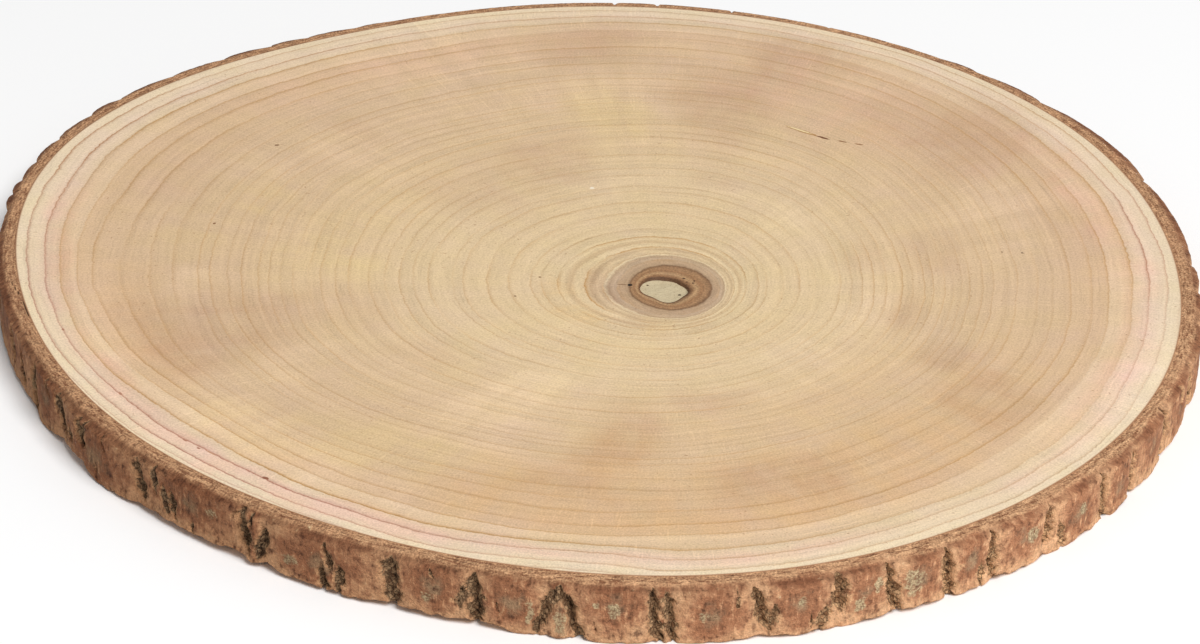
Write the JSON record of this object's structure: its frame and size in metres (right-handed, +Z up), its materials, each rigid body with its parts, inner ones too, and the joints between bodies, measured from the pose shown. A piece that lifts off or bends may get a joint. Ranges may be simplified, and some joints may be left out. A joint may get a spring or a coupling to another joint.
{
  "type": "wood slice",
  "caption": "Round natural wood slice with sunken pith, growth rings and rough bark edge, sawn flat on both faces, for use as a serving board, stand or table decoration.",
  "frame": {"origin": "middle of the slice's footprint, on the surface it rests on", "axes": "+Z up through the thickness, out of the upper sawn face; -Y towards the side of the rim that is nearest in the usual view, +X to its right"},
  "size_m": [0.3599, 0.367, 0.017],
  "materials": {
    "wood": "pale sawn end grain, sanded smooth and unvarnished, with fine growth rings",
    "bark": "rough dry bark, smooth reddish-brown plates with dark fissures and grey-green lichen"
  },
  "bodies": {
    "root": {"wood_slice": "wood"}
  },
  "joints": []
}
